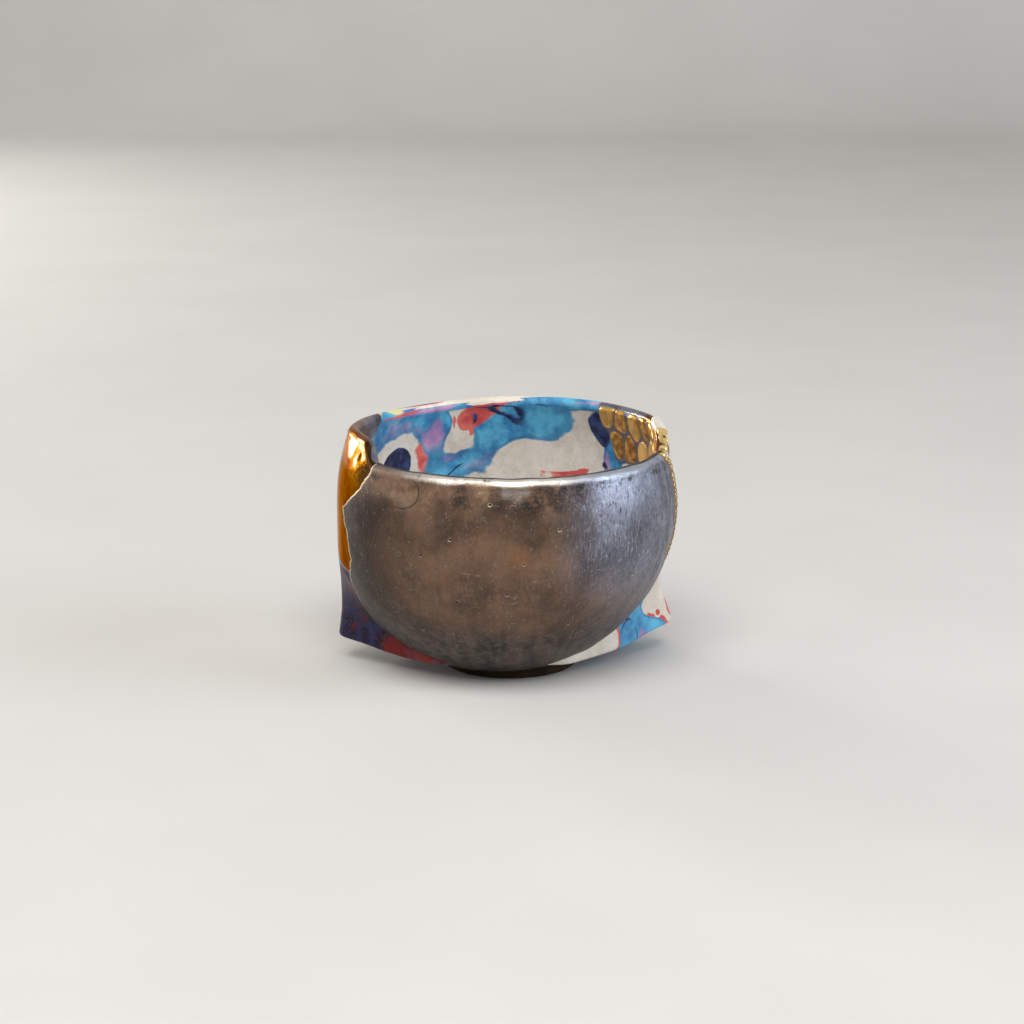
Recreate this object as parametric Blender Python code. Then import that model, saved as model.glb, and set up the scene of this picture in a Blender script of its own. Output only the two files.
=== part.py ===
"""A small hand-built sake cup: a round bowl whose lower body is pinched out into soft corners.

The front of the bowl is a lustred sherd that stands a little proud of the body.
Directions are in degrees, counter-clockwise from +X as seen from above, so the front is 270.
"""

import bmesh
import bpy
import numpy as np

MM = 0.001

# Foot ring
FOOT_RADIUS = 13.8 * MM
FOOT_WALL = 2.8 * MM
FOOT_HEIGHT = 2.6 * MM
FOOT_RECESS = 2.0 * MM
FOOT_CHAMFER = 0.4 * MM

# Base: a soft polygon with three tips and a straight front side
LEFT_TIP_REACH = 35.6 * MM
LEFT_TIP_DIRECTION = 179.0
LEFT_TIP_LIFT = 1.7 * MM
RIGHT_TIP_REACH = 35.2 * MM
RIGHT_TIP_DIRECTION = 14.5
RIGHT_TIP_LIFT = 2.4 * MM
BACK_TIP_REACH = 34.8 * MM
BACK_TIP_DIRECTION = 89.0
BACK_TIP_LIFT = 1.6 * MM
TIP_WIDTH = 15.0
FRONT_LEDGE = 1.6 * MM
FRONT_LEFT_DIRECTION = 226.0
FRONT_RIGHT_DIRECTION = 308.0
BASE_HEIGHT = 3.2 * MM
BASE_EDGE = 0.9 * MM
BASE_EDGE_ROUND = 0.3
CORNER_SHARPNESS = 18.0

# Bowl
BELLY_RADIUS = 34.6 * MM
BELLY_HEIGHT = 34.2 * MM
BELLY_DEPTH = 34.5 * MM
LEFT_SWELL = 1.0 * MM
LEFT_SWELL_DIRECTION = 180.0
RIGHT_FLAT = 0.6 * MM
RIGHT_FLAT_DIRECTION = 352.0
SWELL_WIDTH = 45.0
FRONT_SHOULDER = 34.6 * MM
BACK_SHOULDER = 40.0 * MM
FULLNESS = 2.1
SIDE_FULLNESS = 0.2
LEFT_RIDGE_FULLNESS = 1.8
RIGHT_RIDGE_FULLNESS = 0.5
BACK_FULLNESS = 0.4
RIDGE_WIDTH = 14.0
BACK_WIDTH = 60.0
RIM_CORNER = 0.5 * MM
CORNER_WIDTH = 14.0
PINCH_HEIGHT = 18.0 * MM

# Rim and inside
RIM_FRONT = 45.7 * MM
RIM_BACK = 49.7 * MM
RIM_DIP = 0.9 * MM
RIM_DIP_DIRECTION = 135.0
RIM_DIP_WIDTH = 35.0
LEFT_STEP_START = 203.0
LEFT_STEP_END = 217.0
RIGHT_STEP_START = 343.0
RIGHT_STEP_END = 376.0
LIP_THICKNESS = 2.8 * MM
LIP_HEIGHT = 1.5 * MM
WALL = 3.0 * MM
INSIDE_BOTTOM = 6.2 * MM
INSIDE_FULLNESS = 2.3

# Sherd: the broken edge on its left, from the rim down, as direction and height
SHERD_PROUD = 0.6 * MM
SHERD_BURIED = 1.1 * MM
SHERD_RIM_END = 0.8
BROKEN_EDGE = (
    (215.2, 45.7 * MM),
    (213.6, 43.6 * MM),
    (211.5, 41.5 * MM),
    (207.2, 38.9 * MM),
    (203.6, 37.6 * MM),
    (199.4, 35.8 * MM),
    (200.2, 33.0 * MM),
    (202.6, 30.0 * MM),
    (203.2, 23.5 * MM),
    (196.0, 17.0 * MM),
    (196.0, 5.0 * MM),
)
SHERD_RIGHT_EDGE = (
    (342.5, 45.7 * MM),
    (347.0, 43.5 * MM),
    (348.0, 35.0 * MM),
    (346.0, 28.0 * MM),
    (344.0, 23.0 * MM),
    (350.0, 17.0 * MM),
    (350.0, 5.0 * MM),
)

# The bowl's axis from the origin, which lies under the middle of the whole cup
AXIS_X = 0.45 * MM
AXIS_Y = 0.2 * MM

# How finely the surfaces are divided, and how much closer their rows lie at the tips and the bottoms
DIRECTIONS = 84
TIP_CROWDING = 2.0
TIP_CROWDING_WIDTH = 9.0
UNDERSIDE_ROWS = 3
WALL_ROWS = 15
WALL_CROWDING = 1.15
LIP_ROWS = 5
INSIDE_ROWS = 11
INSIDE_CROWDING = 1.6
SHERD_COLUMNS = 34
SHERD_LOW_ROWS = 10
SHERD_HIGH_ROWS = 4

# Sizes that follow from the ones above
FOOT_INSIDE = FOOT_RADIUS - FOOT_WALL
BASE_FRONT = FOOT_RADIUS + FRONT_LEDGE
SHERD_FOOT = FOOT_RADIUS - FOOT_WALL / 2.0


def eased(value, start, end):
    """0 before start, 1 after end and a smooth S between them."""
    part = np.clip((value - start) / (end - start), 0.0, 1.0)
    return part * part * (3.0 - 2.0 * part)


def hill(direction, middle, half_width):
    """1 at the middle direction, fading out as a bell curve on both sides of it."""
    away = (direction - middle + 180.0) % 360.0 - 180.0
    return np.exp(-((away / half_width) ** 2))


def point_at(direction, reach):
    turn = np.radians(direction)
    return np.array((np.cos(turn), np.sin(turn))) * reach


def base_corners():
    """Corners of the base polygon, set out so that the rounded tips have their named reach."""
    rounding = 2.0 ** (1.0 / CORNER_SHARPNESS)
    left = point_at(LEFT_TIP_DIRECTION, LEFT_TIP_REACH * rounding)
    right = point_at(RIGHT_TIP_DIRECTION, RIGHT_TIP_REACH * rounding)
    back = point_at(BACK_TIP_DIRECTION, BACK_TIP_REACH * rounding)
    front = []
    for direction in (FRONT_LEFT_DIRECTION, FRONT_RIGHT_DIRECTION):
        reach = BASE_FRONT / abs(np.sin(np.radians(direction)))
        front.append(point_at(direction, reach))
    return [left, *front, right, back]


def base_radius(direction):
    """Distance from the axis to the base outline, a polygon whose corners a power sum rounds off."""
    turn = np.radians(direction)
    corners = base_corners()
    total = np.zeros_like(turn)
    for first, second in zip(corners, corners[1:] + corners[:1]):
        along = (second - first) / np.linalg.norm(second - first)
        outward = np.array((along[1], -along[0]))
        distance = outward @ first
        facing = (outward[0] * np.cos(turn) + outward[1] * np.sin(turn)) / distance
        total += np.clip(facing, 0.0, None) ** CORNER_SHARPNESS
    return total ** (-1.0 / CORNER_SHARPNESS)


def base_height(direction):
    """Height of the base's lower edge, which lifts a little at each tip."""
    lift = LEFT_TIP_LIFT * hill(direction, LEFT_TIP_DIRECTION, TIP_WIDTH)
    lift = lift + RIGHT_TIP_LIFT * hill(direction, RIGHT_TIP_DIRECTION, TIP_WIDTH)
    lift = lift + BACK_TIP_LIFT * hill(direction, BACK_TIP_DIRECTION, TIP_WIDTH)
    return BASE_HEIGHT + lift


def front_share(direction):
    """1 over the lower front rim and 0 round the back, with a steep step left and a long one right."""
    round_once = direction % 360.0
    left = eased(round_once, LEFT_STEP_START, LEFT_STEP_END)
    right = eased(round_once, RIGHT_STEP_START, RIGHT_STEP_END)
    wrapped = eased(round_once + 360.0, RIGHT_STEP_START, RIGHT_STEP_END)
    return np.where(round_once < 90.0, 1.0 - wrapped, left * (1.0 - right))


def rim_height(direction):
    dip = RIM_DIP * hill(direction, RIM_DIP_DIRECTION, RIM_DIP_WIDTH)
    return RIM_BACK - dip + (RIM_FRONT - RIM_BACK) * front_share(direction)


def belly_radius(direction):
    left = LEFT_SWELL * hill(direction, LEFT_SWELL_DIRECTION, SWELL_WIDTH)
    right = RIGHT_FLAT * hill(direction, RIGHT_FLAT_DIRECTION, SWELL_WIDTH)
    return BELLY_RADIUS + left - right


def bowl_fullness(direction):
    return FULLNESS - SIDE_FULLNESS * np.cos(np.radians(direction))


def body_fullness(direction):
    """The body keeps its width lower down than the bowl does at its two ridges and at the back."""
    left = LEFT_RIDGE_FULLNESS * hill(direction, LEFT_TIP_DIRECTION, RIDGE_WIDTH)
    right = RIGHT_RIDGE_FULLNESS * hill(direction, RIGHT_TIP_DIRECTION, RIDGE_WIDTH)
    back = BACK_FULLNESS * hill(direction, BACK_TIP_DIRECTION, BACK_WIDTH)
    return bowl_fullness(direction) + left + right + back


def shoulder(direction):
    """Height over which the wall above the belly would close, so a larger one stands steeper."""
    return BACK_SHOULDER + (FRONT_SHOULDER - BACK_SHOULDER) * front_share(direction)


def upper_radius(direction, height):
    """An ellipse above the belly, with a slight ridge at the right rim corner."""
    rise = np.clip((height - BELLY_HEIGHT) / shoulder(direction), 0.0, 1.0)
    corner = hill(direction, RIGHT_TIP_DIRECTION, CORNER_WIDTH)
    ridge = RIM_CORNER * corner * eased(height, BELLY_HEIGHT, RIM_BACK)
    return belly_radius(direction) * np.sqrt(1.0 - rise**2) + ridge


def round_radius(direction, height, fullness):
    """An ellipse above the belly and a superellipse of the given fullness below it."""
    drop = np.clip((BELLY_HEIGHT - height) / BELLY_DEPTH, 0.0, 0.999)
    below = (1.0 - drop**fullness) ** (1.0 / fullness)
    return upper_radius(direction, height) * below


def wall_radius(direction, height):
    """The outer wall: the base outline blends into the round body, and the bowl stands out in front."""
    start = base_height(direction)
    risen = eased(height, start, start + PINCH_HEIGHT)
    body = round_radius(direction, height, body_fullness(direction))
    pinched = base_radius(direction) * (1.0 - risen) + body * risen
    bowl = round_radius(direction, height, bowl_fullness(direction))
    return np.maximum(pinched, bowl)


def inside_radius(direction, share):
    """The cavity, from its centre at share 0 to its widest ring at share 1, as (radius, height)."""
    widest = belly_radius(direction) - WALL
    drop = 1.0 - share
    radius = widest * (1.0 - drop**INSIDE_FULLNESS) ** (1.0 / INSIDE_FULLNESS)
    height = INSIDE_BOTTOM + (BELLY_HEIGHT - INSIDE_BOTTOM) * share
    return radius, height


def lip(direction, turn, proud):
    """The rounded rim: half an ellipse over the wall, from the outside at 0 degrees to the inside at 180."""
    top = rim_height(direction)
    middle = upper_radius(direction, top - LIP_HEIGHT) - LIP_THICKNESS / 2.0
    radius = middle + (LIP_THICKNESS / 2.0 + proud) * np.cos(np.radians(turn))
    height = top - LIP_HEIGHT + (LIP_HEIGHT + proud) * np.sin(np.radians(turn))
    return radius, height


def spread_directions():
    """Directions all round the cup, set closer together at the three tips."""
    fine = np.linspace(0.0, 360.0, 3601)
    density = np.ones_like(fine)
    for tip in (LEFT_TIP_DIRECTION, RIGHT_TIP_DIRECTION, BACK_TIP_DIRECTION):
        density += TIP_CROWDING * hill(fine, tip, TIP_CROWDING_WIDTH)
    total = np.concatenate(((0.0,), np.cumsum((density[1:] + density[:-1]) / 2.0)))
    steps = np.linspace(0.0, total[-1], DIRECTIONS, endpoint=False)
    return np.interp(steps, total, fine)


def body_rows(direction):
    """(radius, height) of each ring of the body, from the recess under the foot to the inside bottom."""
    level = np.ones_like(direction)
    base = base_radius(direction)
    low = base_height(direction)
    top = rim_height(direction) - LIP_HEIGHT
    rows = [
        (level * (FOOT_INSIDE - FOOT_CHAMFER), level * FOOT_RECESS),
        (level * FOOT_INSIDE, level * (FOOT_RECESS - FOOT_CHAMFER)),
        (level * FOOT_INSIDE, level * FOOT_CHAMFER),
        (level * (FOOT_INSIDE + FOOT_CHAMFER), level * 0.0),
        (level * (FOOT_RADIUS - FOOT_CHAMFER), level * 0.0),
        (level * FOOT_RADIUS, level * FOOT_CHAMFER),
        (level * FOOT_RADIUS, level * FOOT_HEIGHT),
    ]
    for share in np.linspace(0.0, 1.0, UNDERSIDE_ROWS + 1)[1:]:
        radius = FOOT_RADIUS + (base - BASE_EDGE - FOOT_RADIUS) * share
        rows.append((radius, FOOT_HEIGHT + (low - FOOT_HEIGHT) * share))
    rows.append((base - BASE_EDGE_ROUND * BASE_EDGE, low + BASE_EDGE_ROUND * BASE_EDGE))
    for share in np.linspace(0.0, 1.0, WALL_ROWS) ** WALL_CROWDING:
        height = low + BASE_EDGE + (top - low - BASE_EDGE) * share
        rows.append((wall_radius(direction, height), height))
    for turn in np.linspace(0.0, 180.0, LIP_ROWS + 2)[1:]:
        rows.append(lip(direction, turn, 0.0))
    halfway = (top + BELLY_HEIGHT) / 2.0
    rows.append((upper_radius(direction, halfway) - (LIP_THICKNESS + WALL) / 2.0, halfway))
    for share in np.linspace(1.0, 0.0, INSIDE_ROWS)[:-1] ** INSIDE_CROWDING:
        rows.append(inside_radius(direction, share))
    return rows


def as_points(direction, radius, height):
    turn = np.radians(direction)
    across = AXIS_X + radius * np.cos(turn)
    along = AXIS_Y + radius * np.sin(turn)
    return np.stack((across, along, height + 0.0 * turn), axis=-1)


def mesh_object(name, points, faces, collection, material):
    mesh = bpy.data.meshes.new(name)
    mesh.from_pydata(points.tolist(), [], faces)
    shaped = bmesh.new()
    shaped.from_mesh(mesh)
    bmesh.ops.recalc_face_normals(shaped, faces=shaped.faces)
    shaped.to_mesh(mesh)
    shaped.free()
    mesh.shade_smooth()
    mesh.materials.append(material)
    piece = bpy.data.objects.new(name, mesh)
    collection.objects.link(piece)
    return piece


def make_body(collection, material):
    """The vessel as one loft between unlike sections: a round foot, a soft polygon and a stepped rim."""
    direction = spread_directions()
    rows = [as_points(direction, radius, height) for radius, height in body_rows(direction)]
    count = len(direction)
    poles = np.array(((AXIS_X, AXIS_Y, FOOT_RECESS), (AXIS_X, AXIS_Y, INSIDE_BOTTOM)))
    points = np.concatenate((*rows, poles))
    under = len(rows) * count
    over = under + 1
    faces = []
    for column in range(count):
        after = (column + 1) % count
        faces.append((under, after, column))
        for row in range(len(rows) - 1):
            here = row * count
            above = here + count
            faces.append((here + column, here + after, above + after, above + column))
        last = (len(rows) - 1) * count
        faces.append((last + column, last + after, over))
    return mesh_object("sake_cup", points, faces, collection, material)


def edge_direction(edge, height):
    """Direction of one of the sherd's side edges at a height, straight between its named points."""
    directions, heights = zip(*reversed(edge))
    return np.interp(height, heights, directions)


def between_edges(share, height):
    """Directions from the broken edge to the right edge at a height."""
    left = edge_direction(BROKEN_EDGE, height)
    return left + (edge_direction(SHERD_RIGHT_EDGE, height) - left) * share


def sherd_layer(share, offset):
    """One face of the sherd as rows of points, offset from the bowl, from the foot up and over the rim."""
    layer = []
    for part in np.linspace(1.0, 0.0, SHERD_LOW_ROWS):
        direction = between_edges(share, BELLY_HEIGHT - BELLY_DEPTH * np.sin(part * np.pi / 2.0))
        fullness = bowl_fullness(direction)
        widest = belly_radius(direction)
        lowest = (1.0 - (SHERD_FOOT / widest) ** fullness) ** (1.0 / fullness)
        drop = np.sin(part * np.arcsin(lowest))
        below = (1.0 - drop**fullness) ** (1.0 / fullness)
        height = BELLY_HEIGHT - (BELLY_DEPTH + offset) * drop
        layer.append(as_points(direction, (widest + offset) * below, height))
    for rise in np.linspace(0.0, 1.0, SHERD_HIGH_ROWS + 1)[1:]:
        height = BELLY_HEIGHT + (RIM_FRONT - LIP_HEIGHT - BELLY_HEIGHT) * rise
        direction = between_edges(share, height)
        layer.append(as_points(direction, upper_radius(direction, height) + offset, height))
    for turn in np.linspace(0.0, 180.0, LIP_ROWS + 2)[1:] * SHERD_RIM_END:
        direction = between_edges(share, RIM_FRONT)
        radius, height = lip(direction, turn, offset)
        layer.append(as_points(direction, radius, height))
    return np.array(layer)


def make_sherd(collection, material):
    """The sherd as a plate: its outer face is proud of the bowl, its inner face buried in the wall."""
    share = np.linspace(0.0, 1.0, SHERD_COLUMNS)
    outer = sherd_layer(share, SHERD_PROUD)
    buried = sherd_layer(share, -SHERD_BURIED)
    rings = np.concatenate((outer, buried[::-1])).transpose(1, 0, 2)
    size = rings.shape[1]
    faces = []
    for column in range(SHERD_COLUMNS - 1):
        here = column * size
        there = here + size
        for row in range(size):
            after = (row + 1) % size
            faces.append((here + row, there + row, there + after, here + after))
    for start in (0, (SHERD_COLUMNS - 1) * size):
        for row in range(size // 2 - 1):
            opposite = size - 1 - row
            faces.append((start + row, start + row + 1, start + opposite - 1, start + opposite))
    return mesh_object("sherd", rings.reshape(-1, 3), faces, collection, material)


def make_material(name, colour, roughness, metallic):
    material = bpy.data.materials.new(name)
    material.use_nodes = True
    shader = material.node_tree.nodes["Principled BSDF"]
    shader.inputs["Base Color"].default_value = (*colour, 1.0)
    shader.inputs["Roughness"].default_value = roughness
    shader.inputs["Metallic"].default_value = metallic
    return material


def new_collection(name):
    collection = bpy.data.collections.new(name)
    bpy.context.scene.collection.children.link(collection)
    return collection


def clear_scene():
    for obj in list(bpy.data.objects):
        bpy.data.objects.remove(obj, do_unlink=True)


def main():
    clear_scene()
    cup_parts = new_collection("sake_cup")
    joined = new_collection("joined_shapes")
    glaze = make_material("painted_glaze", (0.40, 0.52, 0.60), 0.35, 0.0)
    lustre = make_material("bronze_lustre", (0.12, 0.09, 0.07), 0.40, 0.6)
    body = make_body(cup_parts, glaze)
    sherd = make_sherd(joined, lustre)
    sherd.hide_render = True
    sherd.display_type = "WIRE"
    union = body.modifiers.new("sherd", "BOOLEAN")
    union.operation = "UNION"
    union.solver = "EXACT"
    union.material_mode = "TRANSFER"
    union.object = sherd


main()
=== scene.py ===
"""The looks of a small sake cup: painted glaze, gold lustre, a dark metal-lustred sherd and gold scales.

Every length is in millimetres until a mesh is written, and every direction is in degrees, counted
anticlockwise from +X seen from above, so that 270 faces the viewer.
"""

import bpy
import numpy as np
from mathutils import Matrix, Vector


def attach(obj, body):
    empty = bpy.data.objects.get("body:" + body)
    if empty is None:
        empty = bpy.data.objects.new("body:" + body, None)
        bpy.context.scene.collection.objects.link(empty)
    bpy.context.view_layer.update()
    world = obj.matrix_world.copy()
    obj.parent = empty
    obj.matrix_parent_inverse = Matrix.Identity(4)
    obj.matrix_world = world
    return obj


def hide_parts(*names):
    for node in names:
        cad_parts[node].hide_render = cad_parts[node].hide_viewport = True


MM = 0.001

# Foot ring and the recess inside it
FOOT_RADIUS = 13.8
FOOT_WALL = 2.8
FOOT_HEIGHT = 2.6
FOOT_RECESS = 2.0
FOOT_ROUND = 0.4
RECESS_ROUND = 0.6
FOOT_INSIDE = FOOT_RADIUS - FOOT_WALL

# The three pinched tips of the base and its two front corners
LEFT_TIP_REACH = 35.6
LEFT_TIP_DIRECTION = 179.0
LEFT_TIP_LIFT = 1.7
RIGHT_TIP_REACH = 35.2
RIGHT_TIP_DIRECTION = 14.5
RIGHT_TIP_LIFT = 2.4
BACK_TIP_REACH = 34.8
BACK_TIP_DIRECTION = 89.0
BACK_TIP_LIFT = 1.6
TIP_WIDTH = 15.0
FRONT_LEFT_DIRECTION = 226.0
FRONT_RIGHT_DIRECTION = 308.0
BASE_FRONT = FOOT_RADIUS + 1.6
BASE_HEIGHT = 3.2
BASE_EDGE = 0.9
CORNER_SHARPNESS = 18.0
PINCH_HEIGHT = 18.0

# The round body
BELLY_RADIUS = 34.6
BELLY_HEIGHT = 34.2
BELLY_DEPTH = 34.5
LEFT_SWELL = 1.0
LEFT_SWELL_DIRECTION = 180.0
RIGHT_FLAT = 0.6
RIGHT_FLAT_DIRECTION = 352.0
SWELL_WIDTH = 45.0
FRONT_SHOULDER = 34.6
BACK_SHOULDER = 40.0
FULLNESS = 2.1
SIDE_FULLNESS = 0.2
LEFT_RIDGE_FULLNESS = 1.8
RIGHT_RIDGE_FULLNESS = 0.5
RIDGE_WIDTH = 14.0
BACK_FULLNESS = 0.4
BACK_WIDTH = 60.0
RIM_CORNER = 0.5
CORNER_WIDTH = 14.0

# The stepped rim, the wall and the cavity
RIM_FRONT = 45.7
RIM_BACK = 49.7
RIM_DIP = 0.9
RIM_DIP_DIRECTION = 135.0
RIM_DIP_WIDTH = 35.0
LEFT_STEP_START = 203.0
LEFT_STEP_END = 217.0
RIGHT_STEP_START = 343.0
RIGHT_STEP_END = 376.0
LIP_THICKNESS = 2.8
LIP_HEIGHT = 1.5
WALL = 3.0
INSIDE_BOTTOM = 6.2
INSIDE_FULLNESS = 2.3

# The sherd, and its two side edges as (direction, height) from the rim down
SHERD_PROUD = 0.6
SHERD_BURIED = 1.1
SHERD_RIM_END = 144.0
SHERD_FOOT = FOOT_RADIUS - FOOT_WALL / 2.0
SHERD_EDGE_ROUND = 0.5
BROKEN_EDGE = (
    (215.2, 45.7), (213.6, 43.6), (211.5, 41.5), (207.2, 38.9), (203.6, 37.6), (199.4, 35.8),
    (200.2, 33.0), (202.6, 30.0), (203.2, 23.5), (196.0, 17.0), (196.0, 5.0),
)
SHERD_RIGHT_EDGE = (
    (342.5, 45.7), (347.0, 43.5), (348.0, 35.0), (346.0, 28.0), (344.0, 23.0), (350.0, 17.0), (350.0, 5.0),
)

# The bowl's axis from the origin, which lies under the middle of the whole cup
AXIS = np.array((0.45, 0.2, 0.0))

# The photographer's place: the point looked at, how far away and how high
AIM = (0.85, 0.2, 31.65)
CAMERA_DISTANCE = 620.0
CAMERA_HEIGHT_ANGLE = 14.0
LENS = 105.86


# Curves of the cup


def eased(value, start, end):
    """0 before start, 1 after end and a smooth S between them."""
    part = np.clip((value - start) / (end - start), 0.0, 1.0)
    return part * part * (3.0 - 2.0 * part)


def bell(away, width, power=2):
    """1 at no distance away, fading out as a bell curve."""
    return np.exp(-((away / width) ** power))


def aside(direction, middle):
    """Degrees from the middle direction, the short way round."""
    return (direction - middle + 180.0) % 360.0 - 180.0


def hill(direction, middle, half_width):
    """A bell curve over the directions on both sides of the middle one."""
    return bell(aside(direction, middle), half_width)


def steps(last, count):
    """Equal steps from 0 to the last value, as a column without the 0."""
    return np.linspace(0.0, last, count + 1)[1:, None]


def point_at(direction, reach):
    turn = np.radians(direction)
    return np.array((np.cos(turn), np.sin(turn))) * reach


def base_radius(direction):
    """Distance from the axis to the base outline: a five-cornered polygon, rounded by a power sum of its
    sides."""
    rounding = 2.0 ** (1.0 / CORNER_SHARPNESS)
    corners = [
        point_at(LEFT_TIP_DIRECTION, LEFT_TIP_REACH * rounding),
        point_at(FRONT_LEFT_DIRECTION, BASE_FRONT / abs(np.sin(np.radians(FRONT_LEFT_DIRECTION)))),
        point_at(FRONT_RIGHT_DIRECTION, BASE_FRONT / abs(np.sin(np.radians(FRONT_RIGHT_DIRECTION)))),
        point_at(RIGHT_TIP_DIRECTION, RIGHT_TIP_REACH * rounding),
        point_at(BACK_TIP_DIRECTION, BACK_TIP_REACH * rounding),
    ]
    turn = np.radians(direction)
    total = np.zeros_like(turn)
    for first, second in zip(corners, corners[1:] + corners[:1]):
        along = (second - first) / np.linalg.norm(second - first)
        outward = np.array((along[1], -along[0]))
        facing = (outward[0] * np.cos(turn) + outward[1] * np.sin(turn)) / (outward @ first)
        total += np.clip(facing, 0.0, None) ** CORNER_SHARPNESS
    return total ** (-1.0 / CORNER_SHARPNESS)


def base_height(direction):
    """Height of the base's lower edge, a level with one bell-shaped lift at each tip."""
    lift = LEFT_TIP_LIFT * hill(direction, LEFT_TIP_DIRECTION, TIP_WIDTH)
    lift = lift + RIGHT_TIP_LIFT * hill(direction, RIGHT_TIP_DIRECTION, TIP_WIDTH)
    lift = lift + BACK_TIP_LIFT * hill(direction, BACK_TIP_DIRECTION, TIP_WIDTH)
    return BASE_HEIGHT + lift


def front_share(direction):
    """1 over the lower front rim, 0 round the back, with an S-shaped step at each side."""
    round_once = direction % 360.0
    left = eased(round_once, LEFT_STEP_START, LEFT_STEP_END)
    right = eased(round_once, RIGHT_STEP_START, RIGHT_STEP_END)
    wrapped = eased(round_once + 360.0, RIGHT_STEP_START, RIGHT_STEP_END)
    return np.where(round_once < 90.0, 1.0 - wrapped, left * (1.0 - right))


def rim_height(direction):
    dip = RIM_DIP * hill(direction, RIM_DIP_DIRECTION, RIM_DIP_WIDTH)
    return RIM_BACK - dip + (RIM_FRONT - RIM_BACK) * front_share(direction)


def belly_radius(direction):
    left = LEFT_SWELL * hill(direction, LEFT_SWELL_DIRECTION, SWELL_WIDTH)
    right = RIGHT_FLAT * hill(direction, RIGHT_FLAT_DIRECTION, SWELL_WIDTH)
    return BELLY_RADIUS + left - right


def bowl_fullness(direction):
    return FULLNESS - SIDE_FULLNESS * np.cos(np.radians(direction))


def body_fullness(direction):
    """The body keeps its width lower down than the bowl does at its two ridges and at the back."""
    left = LEFT_RIDGE_FULLNESS * hill(direction, LEFT_TIP_DIRECTION, RIDGE_WIDTH)
    right = RIGHT_RIDGE_FULLNESS * hill(direction, RIGHT_TIP_DIRECTION, RIDGE_WIDTH)
    back = BACK_FULLNESS * hill(direction, BACK_TIP_DIRECTION, BACK_WIDTH)
    return bowl_fullness(direction) + left + right + back


def upper_radius(direction, height):
    """A quarter ellipse above the belly, plus a slight ridge that grows towards the right rim corner."""
    shoulder = BACK_SHOULDER + (FRONT_SHOULDER - BACK_SHOULDER) * front_share(direction)
    rise = np.clip((height - BELLY_HEIGHT) / shoulder, 0.0, 1.0)
    corner = hill(direction, RIGHT_TIP_DIRECTION, CORNER_WIDTH)
    ridge = RIM_CORNER * corner * eased(height, BELLY_HEIGHT, RIM_BACK)
    return belly_radius(direction) * np.sqrt(1.0 - rise**2) + ridge


def round_radius(direction, height, fullness):
    """An ellipse above the belly and a superellipse of the given fullness below it."""
    drop = np.clip((BELLY_HEIGHT - height) / BELLY_DEPTH, 0.0, 0.999)
    return upper_radius(direction, height) * (1.0 - drop**fullness) ** (1.0 / fullness)


def wall_radius(direction, height):
    """The base outline below blends into the round body, and the plain bowl stands out where it is wider."""
    start = base_height(direction)
    risen = eased(height, start, start + PINCH_HEIGHT)
    body = round_radius(direction, height, body_fullness(direction))
    pinched = base_radius(direction) * (1.0 - risen) + body * risen
    return np.maximum(pinched, round_radius(direction, height, bowl_fullness(direction)))


def lip(direction, turn, proud):
    """The rounded rim as (radius, height): half an ellipse, from 0 degrees outside to 180 inside."""
    top = rim_height(direction)
    middle = upper_radius(direction, top - LIP_HEIGHT) - LIP_THICKNESS / 2.0
    radius = middle + (LIP_THICKNESS / 2.0 + proud) * np.cos(np.radians(turn))
    height = top - LIP_HEIGHT + (LIP_HEIGHT + proud) * np.sin(np.radians(turn))
    return radius, height


def inner_wall(direction, drop):
    """(radius, height) of the inner face at a drop below the crest: the lip's inner curve, then the wall."""
    top = rim_height(direction)
    height = top - drop
    middle = upper_radius(direction, top - LIP_HEIGHT) - LIP_THICKNESS / 2.0
    rise = np.clip(1.0 - drop / LIP_HEIGHT, 0.0, 1.0)
    on_lip = middle - LIP_THICKNESS / 2.0 * np.sqrt(1.0 - rise**2)
    lower = np.clip((drop - LIP_HEIGHT) / (top - LIP_HEIGHT - BELLY_HEIGHT), 0.0, 1.0)
    on_wall = upper_radius(direction, height) - (LIP_THICKNESS + (WALL - LIP_THICKNESS) * lower)
    return np.where(drop < LIP_HEIGHT, on_lip, on_wall), height


def as_points(direction, radius, height):
    """Round-the-axis measures as points: the radius turned by the direction, plus the axis's own place."""
    turn = np.radians(direction)
    place = np.broadcast_arrays(radius * np.cos(turn), radius * np.sin(turn), height + 0.0)
    return np.stack(place, axis=-1) + AXIS


def random_waves(points, wavelength, seed, count=16):
    """A smooth random swell of about -1 to 1: the sum of plane cosine waves in seeded directions, 0.75 to
    1.35 times as long as the given wavelength, divided by the root of half their number and by 1.6."""
    chance = np.random.default_rng(seed)
    heading = chance.normal(size=(3, count))
    heading /= np.linalg.norm(heading, axis=0)
    lengths = wavelength * chance.uniform(0.75, 1.35, count)
    phase = chance.uniform(0.0, 2.0 * np.pi, count)
    waves = np.cos(points @ (heading / lengths) * 2.0 * np.pi + phase)
    return waves.sum(axis=-1) / np.sqrt(count / 2.0) / 1.6


def swelling(points, level, swells):
    """The level plus random waves, each given as (height, wavelength, seed)."""
    for height, wavelength, seed in swells:
        level = level + height * random_waves(points, wavelength, seed)
    return level


def grid_normals(points, closed):
    """Unit normals of a grid of points: its step across the columns crossed with its step along the rows."""
    if closed:
        across = np.roll(points, -1, axis=1) - np.roll(points, 1, axis=1)
    else:
        across = np.gradient(points, axis=1)
    normal = np.cross(across, np.gradient(points, axis=0))
    return normal / np.maximum(np.linalg.norm(normal, axis=-1, keepdims=True), 1e-9)


# Meshes from grids of points


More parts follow.
